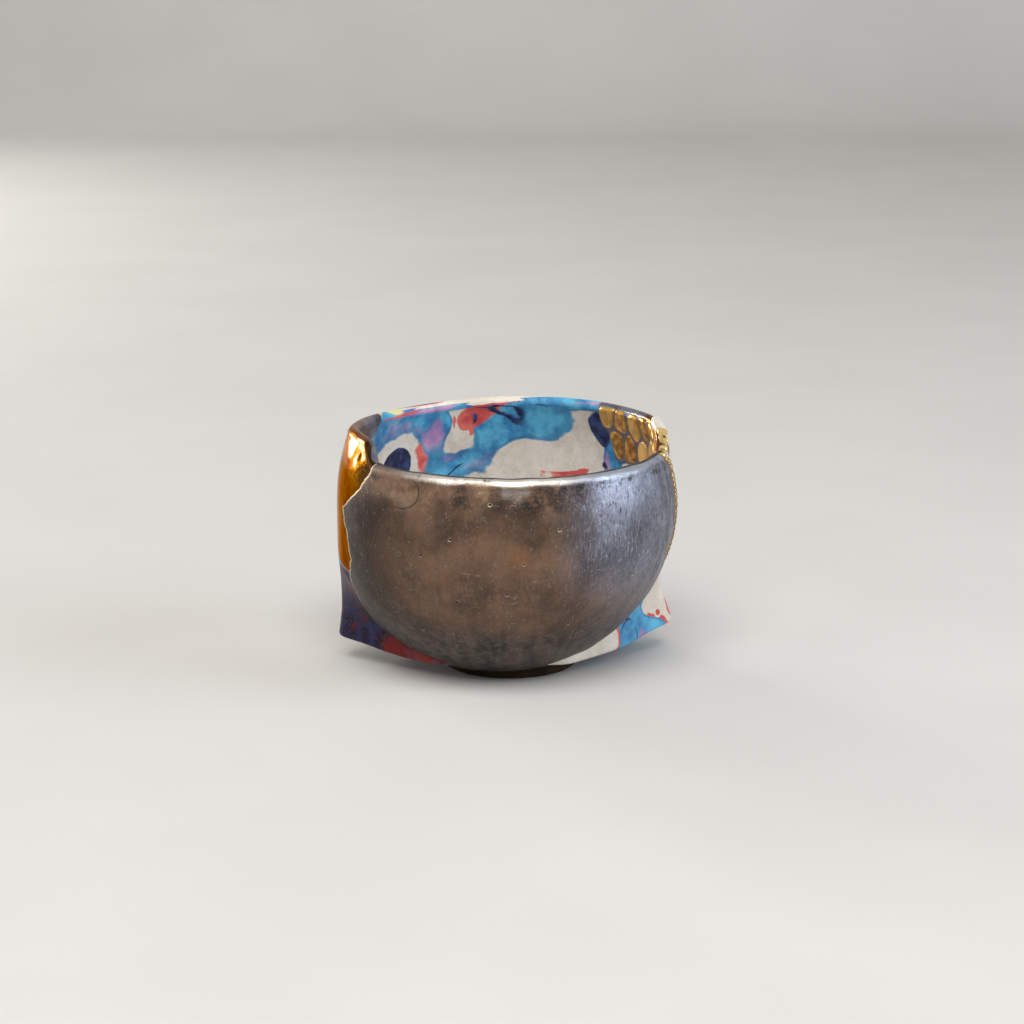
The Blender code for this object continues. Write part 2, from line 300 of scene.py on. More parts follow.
def grid_quads(rows, columns, closed):
    """Four-cornered faces between neighbouring rows and columns, wrapping round the columns if closed."""
    number = np.arange(rows * columns).reshape(rows, columns)
    left = number if closed else number[:, :-1]
    right = np.roll(number, -1, axis=1) if closed else number[:, 1:]
    corners = (left[:-1], right[:-1], right[1:], left[1:])
    return np.stack(corners, axis=-1).reshape(-1, 4)


def write_mesh(name, grids, faces, marks, material):
    """Makes the piece: the points of its grids in metres, its faces, and for each mark one number per point,
    given grid by grid."""
    points = np.concatenate([grid.reshape(-1, 3) for grid in grids])
    mesh = bpy.data.meshes.new(name)
    mesh.from_pydata((points * MM).tolist(), [], faces)
    for mark, fields in marks.items():
        spread = [np.broadcast_to(field, grid.shape[:-1]).ravel() for field, grid in zip(fields, grids)]
        attribute = mesh.attributes.new(mark, "FLOAT", "POINT")
        attribute.data.foreach_set("value", np.concatenate(spread).astype(np.float32))
    mesh.shade_smooth()
    mesh.materials.append(material)
    piece = bpy.data.objects.new(name, mesh)
    bpy.context.scene.collection.objects.link(piece)
    return piece


def zipped_side(front, behind, turned):
    """Triangles that close the gap between two upward chains of points of unlike counts: each step of the
    front chain meets the nearest point behind it, and each step of the chain behind meets a front point."""
    near = np.round(np.linspace(0, len(behind) - 1, len(front))).astype(int)
    forward = np.stack((front[:-1], front[1:], behind[near[:-1]]), axis=-1)
    at = np.flatnonzero(np.diff(near))
    backward = np.stack((front[at + 1], behind[near[at + 1]], behind[near[at]]), axis=-1)
    triangles = np.concatenate((forward, backward))
    return triangles[:, ::-1] if turned else triangles


def plate_faces(rows, rows_behind, columns):
    """Faces of a closed plate whose rows run up its face and back down behind it."""
    number = np.arange((rows + rows_behind) * columns).reshape(-1, columns)
    foot = np.stack((number[-1, :-1], number[-1, 1:], number[0, 1:], number[0, :-1]), axis=-1)
    quads = np.concatenate((grid_quads(rows + rows_behind, columns, False), foot))
    behind = number[rows:][::-1]
    first = zipped_side(number[:rows, 0], behind[:, 0], False)
    last = zipped_side(number[:rows, -1], behind[:, -1], True)
    return quads.tolist() + first.tolist() + last.tolist()


# Finishes


def colour(red, green, blue):
    """A colour as a painter's chart gives it, 0 to 255, turned into the light that it reflects."""
    share = np.array((red, green, blue)) / 255.0
    light = np.where(share <= 0.04045, share / 12.92, ((share + 0.055) / 1.055) ** 2.4)
    return (*light.tolist(), 1.0)


class Finish:
    """A material being mixed: each method adds its nodes and gives back their output. A colour of three
    numbers is a chart's, and one of four is the light itself."""

    def __init__(self, name):
        self.material = bpy.data.materials.new(name)
        self.material.use_nodes = True
        self.tree = self.material.node_tree
        self.shader = self.tree.nodes["Principled BSDF"]
        self.place = self.node("ShaderNodeTexCoord").outputs["Object"]

    def node(self, kind, **choices):
        made = self.tree.nodes.new(kind)
        for choice, value in choices.items():
            setattr(made, choice, value)
        return made

    def feed(self, socket, value):
        if isinstance(value, bpy.types.NodeSocket):
            self.tree.links.new(value, socket)
        elif isinstance(value, tuple) and len(value) == 3:
            socket.default_value = colour(*value)
        else:
            socket.default_value = value

    def mark(self, name):
        return self.node("ShaderNodeAttribute", attribute_name=name).outputs["Fac"]

    def maths(self, operation, first, second=0.0):
        made = self.node("ShaderNodeMath", operation=operation)
        self.feed(made.inputs[0], first)
        self.feed(made.inputs[1], second)
        return made.outputs[0]

    def times(self, first, second):
        return self.maths("MULTIPLY", first, second)

    def plus(self, first, second):
        return self.maths("ADD", first, second)

    def either(self, first, second):
        return self.maths("MAXIMUM", first, second)

    def step(self, value, start, end):
        """0 before start and 1 after end; start may be the larger one."""
        low, high, first, last = (start, end, 0.0, 1.0) if start < end else (end, start, 1.0, 0.0)
        made = self.node("ShaderNodeMapRange", interpolation_type="SMOOTHSTEP")
        self.feed(made.inputs["Value"], value)
        for socket, number in zip(("From Min", "From Max", "To Min", "To Max"), (low, high, first, last)):
            made.inputs[socket].default_value = number
        return made.outputs["Result"]

    def band(self, value, middle, half_width, soft):
        """1 within half a width of the middle value, fading to 0 over the soft distance."""
        away = self.maths("ABSOLUTE", self.plus(value, -middle))
        return self.step(away, half_width + soft, half_width)

    def noise(self, size, detail=2.0, rough=0.5, shift=0.0, upright=1.0):
        """Cloudy noise whose lumps are about the size given in millimetres, and upright times as tall."""
        made = self.node("ShaderNodeTexNoise")
        moved = self.node("ShaderNodeMapping", vector_type="POINT")
        moved.inputs["Location"].default_value = (shift, shift * 0.37, shift * 0.71)
        moved.inputs["Scale"].default_value = (1.0, 1.0, 1.0 / upright)
        self.feed(moved.inputs["Vector"], self.place)
        self.feed(made.inputs["Vector"], moved.outputs["Vector"])
        made.inputs["Scale"].default_value = 1.0 / (size * MM)
        made.inputs["Detail"].default_value = detail
        made.inputs["Roughness"].default_value = rough
        return made.outputs["Fac"]

    def ruffled(self, field, noise, amount):
        """A field, or the mark of that name, with some noise added."""
        field = self.mark(field) if isinstance(field, str) else field
        return self.plus(field, self.times(noise, amount))

    def specks(self, size, rarity, edge):
        """Round specks in the middles of the random cells whose own chance number passes the rarity."""
        cells = self.node("ShaderNodeTexVoronoi")
        self.feed(cells.inputs["Vector"], self.place)
        cells.inputs["Scale"].default_value = 1.0 / (size * MM)
        chance = self.node("ShaderNodeSeparateColor")
        self.feed(chance.inputs["Color"], cells.outputs["Color"])
        chosen = self.step(chance.outputs["Red"], *rarity)
        return self.times(chosen, self.step(cells.outputs["Distance"], *edge))

    def blend(self, share, under, over):
        made = self.node("ShaderNodeMix", data_type="RGBA")
        self.feed(made.inputs[0], share)
        self.feed(made.inputs[6], under)
        self.feed(made.inputs[7], over)
        return made.outputs[2]

    def graded(self, noise, start, end, under, over):
        """The under colour where the noise is low and the over colour where it is high."""
        return self.blend(self.step(noise, start, end), under, over)

    def coated(self, under, coats):
        """Lays coats on in order, each a colour and the shares whose product says where it covers."""
        for over, share, *others in coats:
            for other in others:
                share = self.times(share, other)
            under = self.blend(share, under, over)
        return under

    def between(self, share, under, over):
        """A number that goes from under to over as the share goes from 0 to 1."""
        made = self.node("ShaderNodeMix", data_type="FLOAT")
        self.feed(made.inputs[0], share)
        self.feed(made.inputs[2], under)
        self.feed(made.inputs[3], over)
        return made.outputs[0]

    def relief(self, height, depth, under=None):
        """A bump of the height field, which counts as the given depth in millimetres."""
        made = self.node("ShaderNodeBump")
        self.feed(made.inputs["Height"], height)
        made.inputs["Distance"].default_value = depth * MM
        if under is not None:
            self.feed(made.inputs["Normal"], under)
        return made.outputs["Normal"]

    def finished(self, sockets):
        """Feeds the shader's own sockets and gives back the material."""
        for name, value in sockets.items():
            self.feed(self.shader.inputs[name], value)
        return self.material


def glaze_finish():
    """Painted glaze in soft blotches, with gold lustre, grey lustre and bare clay where the marks say; the
    clay is painted dark as shade.
    """
    mix = Finish("painted_glaze")
    crinkle = mix.times(mix.plus(mix.noise(2.6), -0.5), 0.20)
    pool, warm, deep = [mix.ruffled(name, crinkle, 1.0) for name in ("pool", "warm", "deep")]
    faint = mix.ruffled("faint", crinkle, 3.0)
    grain = mix.noise(0.55, detail=3.0, rough=0.65)
    cloud = mix.noise(5.0, detail=4.0, rough=0.6, shift=0.21)
    wash = mix.noise(2.2, detail=4.0, rough=0.6, shift=0.37)
    ebb = mix.noise(3.4, detail=1.0, shift=0.47)

    cream = mix.graded(cloud, 0.35, 0.65, (212, 203, 190), (228, 221, 210))
    blue = mix.graded(cloud, 0.34, 0.66, (46, 120, 176), (92, 184, 220))
    blue = mix.coated(blue, [((120, 196, 222), mix.step(wash, 0.5, 0.72), 0.35)])
    coral = mix.graded(cloud, 0.35, 0.7, (198, 76, 78), (230, 124, 114))
    navy = mix.graded(wash, 0.35, 0.7, (22, 34, 72), (54, 80, 126))
    lilac = mix.graded(cloud, 0.3, 0.7, (140, 122, 176), (206, 150, 184))
    night = mix.graded(wash, 0.35, 0.7, (8, 16, 44), (22, 42, 90))
    outline = mix.times(mix.band(pool, -0.02, 0.055, 0.05), mix.step(warm, 0.12, 0.22))
    corner = mix.step(mix.ruffled("navy_share", ebb, 0.5), 0.60, 0.84)

    coats = [
        (blue, mix.step(pool, 0.0, 0.06)),
        ((40, 92, 140), mix.band(pool, 0.09, 0.02, 0.08), 0.45),
        (lilac, mix.step(faint, 0.35, 0.95), mix.step(pool, 0.02, 0.25)),
        (coral, mix.either(outline, mix.step(warm, 0.80, 0.86))),
        (navy, mix.step(deep, 0.84, 0.90)),
        (navy, mix.band(deep, 0.05, 0.035, 0.05), mix.step(pool, 0.05, 0.2), mix.step(warm, -0.3, 0.1)),
        ((212, 208, 150), mix.step(mix.mark("yellow_share"), 0.42, 0.55)),
        (cream, mix.specks(8.0, (0.72, 0.74), (0.155, 0.135))),
        (coral, mix.specks(8.0, (0.72, 0.74), (0.105, 0.085))),
        (night, corner),
        ((92, 20, 40), corner, mix.step(mix.noise(4.2, detail=3.0, shift=0.83), 0.52, 0.62), 0.6),
        ((118, 26, 36), mix.step(mix.ruffled("coral_share", ebb, 0.5), 0.66, 0.90), 0.9),
        ((120, 112, 104), mix.step(mix.noise(0.9, shift=0.61), 0.69, 0.73), 0.35),
        ((110, 105, 100), mix.step(grain, 0.45, 0.75), 0.16),
    ]
    paint = mix.coated(cream, coats)

    # Bare clay on the foot, its colour painted dark as shade under the cup.
    clay = mix.step(mix.mark("clay"), -0.15, 0.15)
    ground = mix.graded(cloud, 0.3, 0.7, (24, 20, 18), (46, 38, 33))
    ragged = mix.times(mix.plus(mix.noise(2.2), -0.5), 0.9)
    silver = mix.step(mix.ruffled("silver", ragged, 2.0), -0.3, 0.3)
    steel = mix.graded(cloud, 0.3, 0.7, (100, 112, 132), (164, 174, 190))
    steel = mix.coated(steel, [((112, 88, 54), mix.step(wash, 0.60, 0.68), 0.6)])
    gold = mix.step(mix.ruffled("gold", ragged, 1.0), -0.06, 0.06)
    amber = mix.graded(cloud, 0.32, 0.68, (0.115, 0.043, 0.009, 1.0), (0.27, 0.128, 0.024, 1.0))
    base = mix.coated(paint, [(ground, clay), (steel, silver), (amber, gold)])

    rough = mix.between(mix.step(grain, 0.3, 0.7), 0.40, 0.52)
    for share, own_rough in ((clay, 0.8), (silver, 0.26), (gold, 0.09)):
        rough = mix.between(share, rough, own_rough)
    tooth = mix.relief(grain, 0.05)
    ripple = mix.relief(mix.times(mix.noise(2.4, detail=1.0), gold), 0.05, tooth)
    ripple = mix.relief(mix.times(grain, mix.mark("grit")), 0.5, ripple)
    sockets = {
        "Base Color": base,
        "Metallic": mix.either(gold, mix.times(silver, 0.8)),
        "Roughness": rough,
        "Normal": ripple,
        "Coat Weight": mix.times(gold, mix.mark("glossy")),
        "Coat Roughness": 0.06,
        "Specular Tint": (0.9, 0.48, 0.20, 1.0),
        "Specular IOR Level": 0.35,
    }
    return mix.finished(sockets)


def lustre_finish():
    """Dark bronze lustre on the sherd: stained, pitted and scratched, and rubbed bright on the rim. Painted
    light on it: a highlight on the rim band and along the broken edge, a bluish reflection to the right,
    lighter at the upper right, lighter tan patches at the upper left, darker brown on the left, and painted
    shade towards the bottom and near the right edge."""
    mix = Finish("bronze_lustre")
    cloud = mix.noise(9.0, detail=5.0, rough=0.62)
    mottle = mix.noise(2.2, detail=5.0, rough=0.7, shift=0.3)
    grain = mix.noise(0.45, detail=3.0, rough=0.7, shift=0.7)
    fibre = mix.noise(0.42, detail=3.0, rough=0.65, shift=0.9, upright=3.4)

    brown = mix.graded(cloud, 0.34, 0.66, (88, 68, 55), (130, 101, 81))
    # Painted reflection: a bluish cast for the right side of the sherd.
    cool_reflection = mix.graded(cloud, 0.3, 0.7, (98, 101, 115), (134, 139, 156))
    # Painted highlight: the bluish cast is lighter still at the upper right.
    cool_reflection = mix.coated(cool_reflection, [((172, 182, 204), mix.mark("high"), 0.6)])
    shade = mix.step(mix.ruffled("far_edge", mottle, 8.0), 20.0, 6.0)
    hairy = mix.plus(mix.times(mix.mark("cool_reflection"), 0.8), 0.12)
    uneven = mix.plus(mix.times(mix.step(mix.mark("streak"), -0.5, 0.6), 0.3), 0.65)
    # Ground tones of the lustre, with painted reflections, highlights and shade among them.
    tones_and_painted_light = [
        ((98, 82, 70), mix.step(mottle, 0.40, 0.66), 0.45),
        # Painted reflection: darker brown on the left side, below the rim.
        ((40, 27, 19), mix.mark("left"), 0.9),
        (cool_reflection, mix.mark("cool_reflection"), 0.9),
        ((66, 66, 76), shade, 0.6),
        ((158, 162, 176), shade, mix.step(mix.ruffled("streak", mottle, 2.6), 1.1, 1.9), 0.6),
        ((62, 60, 68), hairy, mix.step(fibre, 0.48, 0.30)),
        ((176, 182, 198), hairy, 0.7, mix.step(fibre, 0.56, 0.70)),
        # Painted shade: much darker towards the bottom, unevenly.
        ((20, 15, 13), mix.mark("low"), uneven),
        ((66, 56, 50), mix.step(mix.mark("streak"), 0.2, 1.0), 0.10),
        ((104, 91, 82), mix.mark("low"), mix.step(mix.ruffled(mottle, cloud, 0.5), 0.66, 0.82), 0.4),
    ]

    patches = mix.step(mix.ruffled(mottle, grain, 0.5), 0.74, 0.86)
    under_rim = mix.times(mix.band(mix.mark("crest"), 2.4, 0.3, 0.7), patches)
    ring = mix.times(mix.band(mix.ruffled("ring", mottle, 0.6), 4.55, 0.05, 0.22), mix.mark("ring_side"))
    stains_and_sheen = [
        ((42, 35, 32), mix.mark("dark"), mix.step(mottle, 0.36, 0.58), 0.85),
        ((36, 33, 38), under_rim, 0.8),
        # Painted soft reflection: lighter tan patches at the upper left.
        ((160, 132, 108), mix.mark("tan"), mix.step(mottle, 0.34, 0.62), 0.8),
        ((170, 162, 154), mix.step(mix.ruffled("pale", mottle, 1.8), 0.95, 2.1), 0.5),
        ((52, 42, 34), ring, 0.75),
        ((146, 90, 42), mix.mark("rust"), mix.step(mottle, 0.3, 0.7)),
    ]

    fleck = mix.times(mix.step(grain, 0.58, 0.68), mix.step(mottle, 0.44, 0.58))
    scratch = mix.step(mix.ruffled("scratch", grain, 0.16), 0.23, 0.10)
    scratch = mix.times(scratch, mix.step(mottle, 0.38, 0.56))
    light = mix.times(mix.specks(1.5, (0.86, 0.88), (0.13, 0.03)), 0.45)
    dust = mix.specks(0.9, (0.84, 0.87), (0.20, 0.06))
    for other, strength in ((dust, 0.2), (fleck, 0.5), (scratch, 0.75)):
        light = mix.either(light, mix.times(other, strength))
    # The rim's rubbed silver band, partly a painted highlight.
    rim_wear_and_highlight = mix.times(mix.mark("rim_wear_and_highlight"), mix.step(mix.ruffled(mottle, grain, 0.35), 0.42, 0.66))
    pit = mix.step(mix.ruffled("pit", grain, 0.2), 0.36, 0.20)
    line = mix.step(mix.mark("crest"), 0.42, 0.28)
    wear_and_highlights = [
        ((184, 176, 168), light),
        ((38, 32, 30), mix.step(grain, 0.36, 0.28), 0.5),
        # Painted reflection: the rim band turns bluish to the right.
        (mix.blend(mix.mark("cool_reflection"), (244, 238, 228), (212, 219, 232)), rim_wear_and_highlight),
        ((16, 13, 12), pit),
        ((196, 184, 164), mix.band(mix.mark("pit"), 0.38, 0.02, 0.10), mix.step(mottle, 0.42, 0.58), 0.7),
        # Painted highlight: a pale line along the broken edge, where its bevel catches the light.
        ((208, 194, 164), mix.step(mix.ruffled("edge", mottle, 0.35), 1.10, 0.92), 0.9),
        ((150, 118, 86), mix.step(mix.ruffled("far_edge", mottle, 1.6), 2.6, 1.7), 0.85),
        ((24, 20, 20), line),
    ]

    metal = mix.between(rim_wear_and_highlight, mix.between(mix.mark("low"), 0.70, 0.40), 0.9)
    rough = mix.between(mix.step(cloud, 0.3, 0.7), 0.36, 0.44)
    rough = mix.plus(rough, mix.times(mix.step(grain, 0.4, 0.7), 0.10))
    worked = mix.relief(mottle, 0.16, mix.relief(grain, 0.045))
    sockets = {
        "Base Color": mix.coated(brown, tones_and_painted_light + stains_and_sheen + wear_and_highlights),
        "Metallic": mix.between(line, metal, 0.1),
        "Roughness": mix.between(pit, rough, 0.9),
        "Normal": mix.relief(mix.step(mix.mark("pit"), 0.0, 0.45), 0.2, worked),
    }
    return mix.finished(sockets)


def scale_finish():
    """Gold lustre on small pillows, each of its own depth of colour, with grey lustre in the grooves."""
    mix = Finish("scale_gold")
    cloud = mix.noise(1.6, detail=3.0, rough=0.6)
    own = mix.mark("own_tint")
    groove = mix.step(mix.ruffled("groove", cloud, 0.2), 0.62, 0.36)
    coats = [
        ((0.24, 0.085, 0.006, 1.0), mix.step(cloud, 0.42, 0.56), mix.step(own, 0.75, 0.35), 0.8),
        ((128, 118, 126), groove),
    ]
    base = mix.coated(mix.blend(own, (0.70, 0.33, 0.05, 1.0), (1.0, 0.60, 0.17, 1.0)), coats)
    rough = mix.between(groove, 0.24, 0.45)
    bump = mix.relief(cloud, 0.08)
    return mix.finished({"Base Color": base, "Metallic": 0.6, "Roughness": rough, "Normal": bump})


def seam_finish():
    """A beaded gold line, pale and rubbed on the beads and brown between them, with a painted highlight: the
    knob at the corner is coloured near white.
    """
    mix = Finish("seam_gold")
    cloud = mix.noise(1.1, detail=3.0, rough=0.6)
    # Painted highlight: the knob is coloured near white and glossy.
    knob = mix.step(mix.mark("knob"), 0.25, 0.6)
    coats = [
        ((240, 206, 136), mix.mark("bright")),
        ((92, 64, 40), mix.step(mix.mark("bead"), 0.5, 0.15), 0.7),
        ((244, 240, 228), knob),
    ]
    base = mix.coated(mix.graded(cloud, 0.4, 0.6, (128, 98, 70), (168, 136, 98)), coats)
    rough = mix.between(knob, 0.26, 0.14)
    metal = mix.between(knob, 0.6, 0.4)
    bump = mix.relief(cloud, 0.08)
    return mix.finished({"Base Color": base, "Metallic": metal, "Roughness": rough, "Normal": bump})


def stage_finish():
    """Plain pale paper with the faintest cloudiness."""
    mix = Finish("pale_paper")
    base = mix.graded(mix.noise(60.0), 0.3, 0.7, (204, 202, 199), (207, 205, 202))
    return mix.finished({"Base Color": base, "Roughness": 0.9})


# Pieces

# How finely the body is divided
BODY_DIRECTIONS = 440
TIP_CROWDING = 2.0
TIP_CROWDING_WIDTH = 9.0
UNDERSIDE_RINGS = 11
WALL_RINGS = 85
LIP_RINGS = 16
INNER_RINGS = 21
BOTTOM_RINGS = 36
FOOT_FILLET = 0.5

# How the gold and the grey lustre lie on it
GOLD_FROM = 163.0
GOLD_TO = 218.0
GOLD_INSIDE = -0.1
GOLD_LOWER_EDGE = ((160.0, 34.0), (168.0, 30.0), (180.0, 25.0), (190.0, 22.8), (203.0, 21.8), (216.0, 21.8))
RIM_GOLD_MIDDLE = 2.0
SILVER_FROM = 150.0
SILVER_DEPTH = 14.0
GREY_RIM_MIDDLE = 32.0
RIM_BAND_HALF = 19.0
DEGREE = 0.6

# The lean of the left rim corner, the dimple in its gold, and the swells as (height, wavelength, seed)
CORNER_ROLL = 1.25
CORNER_DEPTH = 7.0
CORNER_STARTS = (176.0, 194.0)
CORNER_ENDS = (214.0, 200.0)
GOLD_DIMPLE = (206.0, 46.6)
GOLD_GRIT = (202.0, 43.0)
DIMPLE_DEPTH = 0.18
DIMPLE_SIZE = 0.9
WALL_PRESSED = -0.16
WALL_SWELLS = ((0.10, 16.0, 11), (0.05, 6.0, 12))
GOLD_PRESSED = -0.02
GOLD_SWELLS = ((0.02, 8.0, 13), (0.006, 3.6, 14))

# How far away the inside's paint reads its pattern, so that it differs from the outside's, and a distance
# that is beyond every mark
SIDE_SHIFT = np.array((31.0, -17.0, 23.0))
FAR_AWAY = 9.0


def spread_directions(count):
    """Directions all round the cup at equal steps of a summed density, which is higher at the three tips."""
    fine = np.linspace(0.0, 360.0, 3601)
    density = np.ones_like(fine)
    for tip in (LEFT_TIP_DIRECTION, RIGHT_TIP_DIRECTION, BACK_TIP_DIRECTION):
        density += TIP_CROWDING * hill(fine, tip, TIP_CROWDING_WIDTH)
    total = np.concatenate(((0.0,), np.cumsum((density[1:] + density[:-1]) / 2.0)))
    return np.interp(np.linspace(0.0, total[-1], count, endpoint=False), total, fine)


def body_rings(direction):
    """Rings of the body as (radius, height, past), from the recess under the foot to the inside bottom:
    quarter arcs round the foot and the base edge, the wall, half an ellipse over the lip, the inner wall and
    a superellipse for the bottom. Past is how far a ring lies beyond the rim's crest, negative outside."""
    level = np.ones_like(direction)
    bend = np.radians(np.linspace(0.0, 90.0, 7))[:, None]
    sine = np.sin(bend)
    early = 1.0 - np.cos(bend)
    late = 1.0 - sine
    base = base_radius(direction)
    low = base_height(direction)
    crest = rim_height(direction)
    wall_start = wall_radius(direction, low + BASE_EDGE)
    floor = FOOT_INSIDE - RECESS_ROUND
    under = steps(1.0, UNDERSIDE_RINGS)
    over = steps(180.0, LIP_RINGS)
    inwards = 1.0 - np.sin(steps(np.pi / 2.0, BOTTOM_RINGS + 1)[:-1])
    underside_start = FOOT_RADIUS + FOOT_FILLET
    underside = FOOT_HEIGHT + (low - FOOT_HEIGHT) * under
    wall_height = low + BASE_EDGE + (crest - LIP_HEIGHT - low - BASE_EDGE) * steps(1.0, WALL_RINGS)
    widest = belly_radius(direction) - WALL
    bottom = widest * (1.0 - (1.0 - inwards) ** INSIDE_FULLNESS) ** (1.0 / INSIDE_FULLNESS)
    inner = inner_wall(direction, LIP_HEIGHT + (crest - LIP_HEIGHT - BELLY_HEIGHT) * steps(1.0, INNER_RINGS))
    outside = [
        (np.linspace(0.04, 1.0, 7)[:, None] * floor * level, FOOT_RECESS * level),
        (floor + RECESS_ROUND * sine[1:], FOOT_RECESS - RECESS_ROUND * early[1:]),
        (FOOT_INSIDE + FOOT_ROUND * early, FOOT_ROUND * late),
        (FOOT_RADIUS - FOOT_ROUND * late, FOOT_ROUND * early),
        (FOOT_RADIUS + FOOT_FILLET * early, FOOT_HEIGHT - FOOT_FILLET * late),
        (underside_start + (base - BASE_EDGE - underside_start) * under, underside),
        (base - BASE_EDGE + (wall_start - base + BASE_EDGE) * sine[1:], low + BASE_EDGE * early[1:]),
        (wall_radius(direction, wall_height), wall_height),
    ]
    inside = [inner, (bottom, INSIDE_BOTTOM + (BELLY_HEIGHT - INSIDE_BOTTOM) * inwards * level)]
    rings = [(radius, height, height - crest) for radius, height in outside]
    rings.append((*lip(direction, over, 0.0), LIP_HEIGHT * (over / 90.0 - 1.0) * level))
    rings += [(radius, height, crest - height) for radius, height in inside]
    rings = [np.broadcast_arrays(*stretch, level[None, :])[:3] for stretch in rings]
    return [np.concatenate(part) for part in zip(*rings)]


def rim_band(direction, past, middle, before, after):
    """Millimetres inside a band along the rim round the middle direction, from before to after the crest."""
    sides = (RIM_BAND_HALF - np.abs(aside(direction, middle))) * DEGREE
    return np.minimum(sides, np.minimum(past + before, after - past))


def gold_mark(direction, height, past):
    """Millimetres inside the gold's edge: the left corner's patch, or the band along the right rim."""
    sides = np.minimum(direction - GOLD_FROM, GOLD_TO - direction) * DEGREE
    lower = height - np.interp(direction, *zip(*GOLD_LOWER_EDGE))
    patch = np.minimum(sides, np.minimum(lower, GOLD_INSIDE - past))
    return np.maximum(patch, rim_band(direction, past, RIM_GOLD_MIDDLE, 0.5, 4.0))


def silver_mark(direction, past):
    """Millimetres inside the grey lustre: a band inside the left corner's rim, or the top of the right."""
    left = np.minimum(direction - SILVER_FROM - 1.1 * past, GOLD_TO - direction) * DEGREE
    band = np.minimum(left, np.minimum(SILVER_DEPTH - past, past + 0.9))
    return np.maximum(band, rim_band(direction, past, GREY_RIM_MIDDLE, 0.9, 2.0))


def pressed(points, around, height, past, gold):
    """The body as a hand left it: random swells move it along its normals, less under the gold and not at
    the foot or the crest, with a dimple in the gold. Then the left corner's rim leans in, by the square of
    how far up its depth a point is."""
    gilt = eased(gold, -0.8, 0.4)
    free = eased(height, FOOT_HEIGHT + 2.0, FOOT_HEIGHT + 8.0) * eased(np.abs(past), 0.3, 3.0)
    dents = swelling(points, WALL_PRESSED, WALL_SWELLS)
    ripples = swelling(points, GOLD_PRESSED, GOLD_SWELLS)
    swell = free * dents * (1.0 - gilt) + gilt * ripples * eased(np.abs(past) + 1.0, 0.4, 3.0)
    dimple = bell(nearest_of(around, height, (GOLD_DIMPLE,)), DIMPLE_SIZE) * (past < 0.0)
    points = points + grid_normals(points, True) * (swell - DIMPLE_DEPTH * dimple)[..., None]
    above = np.clip(1.0 - (rim_height(around) - height) / CORNER_DEPTH, 0.0, 1.0)
    roll = CORNER_ROLL * above**2 * eased(around, *CORNER_STARTS) * eased(around, *CORNER_ENDS)
    return points - (as_points(around, 1.0, 0.0) - AXIS) * roll[..., None]


def paint_marks(points, around, height, past):
    """Where the paint goes: shares for the corners' colours and the rim's yellow streaks, and four smooth
    random fields for the blotches, read at places that another three fields stir."""
    outside = eased(-past, 6.0, 14.0)
    navy = outside * hill(around, 192.0, 20.0) * eased(height, 27.0, 17.0)
    navy = np.maximum(navy, hill(around, 8.0, 13.0) * eased(past, -5.0, -2.5) * eased(past, 0.2, -0.4))
    streaks = 1.3 * hill(around, 149.0, 15.0) * eased(past, -1.0, -0.3) * eased(past, 1.7, 0.9)
    streaks = streaks + hill(around, 163.0, 9.0) * eased(past, 6.5, 8.0) * eased(past, 11.5, 9.5)
    turned = points + SIDE_SHIFT * eased(past, -0.6, 2.2)[..., None]
    flow = turned + 5.0 * np.stack([random_waves(turned, 22.0, seed) for seed in (41, 42, 43)], axis=-1)
    pool = random_waves(flow, 28.0, 44) - 0.06 - 0.14 * eased(past, 0.0, 3.0) + 0.6 * bell(past, 1.6)
    return {
        "navy_share": navy,
        "coral_share": outside * hill(around, 214.0, 22.0) * eased(height, 15.0, 6.0),
        "yellow_share": streaks * (0.62 + 0.5 * random_waves(points, 7.0, 48)),
        "pool": pool + 0.5 * outside * hill(around, 8.0, 30.0) * eased(height, 24.0, 12.0),
        "warm": random_waves(flow, 21.0, 45),
        "deep": random_waves(flow, 19.0, 46),
        "faint": random_waves(flow, 15.0, 47),
    }


def make_body():
    """The vessel: one closed loft of rings, pressed by hand, with a fan of triangles at each end."""
    direction = spread_directions(BODY_DIRECTIONS)
    radius, height, past = body_rings(direction)
    around = np.broadcast_to(direction, height.shape)
    points = as_points(direction, radius, height)
    gold = gold_mark(around, height, past)
    points = pressed(points, around, height, past, gold)

    rows, count = height.shape
    poles = AXIS + np.array(((0.0, 0.0, FOOT_RECESS), (0.0, 0.0, INSIDE_BOTTOM)))
    column = np.arange(count)
    after = np.roll(column, -1)
    under = np.stack((after, column, np.full(count, rows * count)), axis=-1)
    last = (rows - 1) * count
    over = np.stack((last + column, last + after, np.full(count, rows * count + 1)), axis=-1)
    faces = grid_quads(rows, count, True).tolist() + under.tolist() + over.tolist()

    on_foot = (radius < FOOT_RADIUS + 0.8) & (past < 0.0)
    fields = {
        "gold": gold,
        "glossy": 0.45 * eased(past, -7.0, -4.0),
        "grit": bell(nearest_of(around, height, (GOLD_GRIT,)), DIMPLE_SIZE) * (past < 0.0),
        "silver": silver_mark(around, past),
        # The foot's bare clay, painted dark as shade.
        "clay": np.where(on_foot, FOOT_HEIGHT + 0.3 - height, -FAR_AWAY),
        **paint_marks(points, around, height, past),
    }
    marks = {name: (field, field[[0, -1]].mean(axis=1)) for name, field in fields.items()}
    return write_mesh("painted_body", (points, poles), faces, marks, glaze_finish())


# The sherd's divisions below the belly, above it and over the lip, its width over the bowl, the length of
# the lip's outer curve, and the chips in its edge as (degrees, rate over the height, start)
SHERD_COLUMNS = 380
SHERD_ROWS = (170, 44, 20)
SHERD_BACK_ROWS = (14, 6, 6)
SHERD_WIDTH = 88.0
LIP_CURVE = 2.3
CHIPS = ((0.22, 1.9, 0.0), (0.16, 4.3, 1.0), (0.10, 8.7, 2.0))

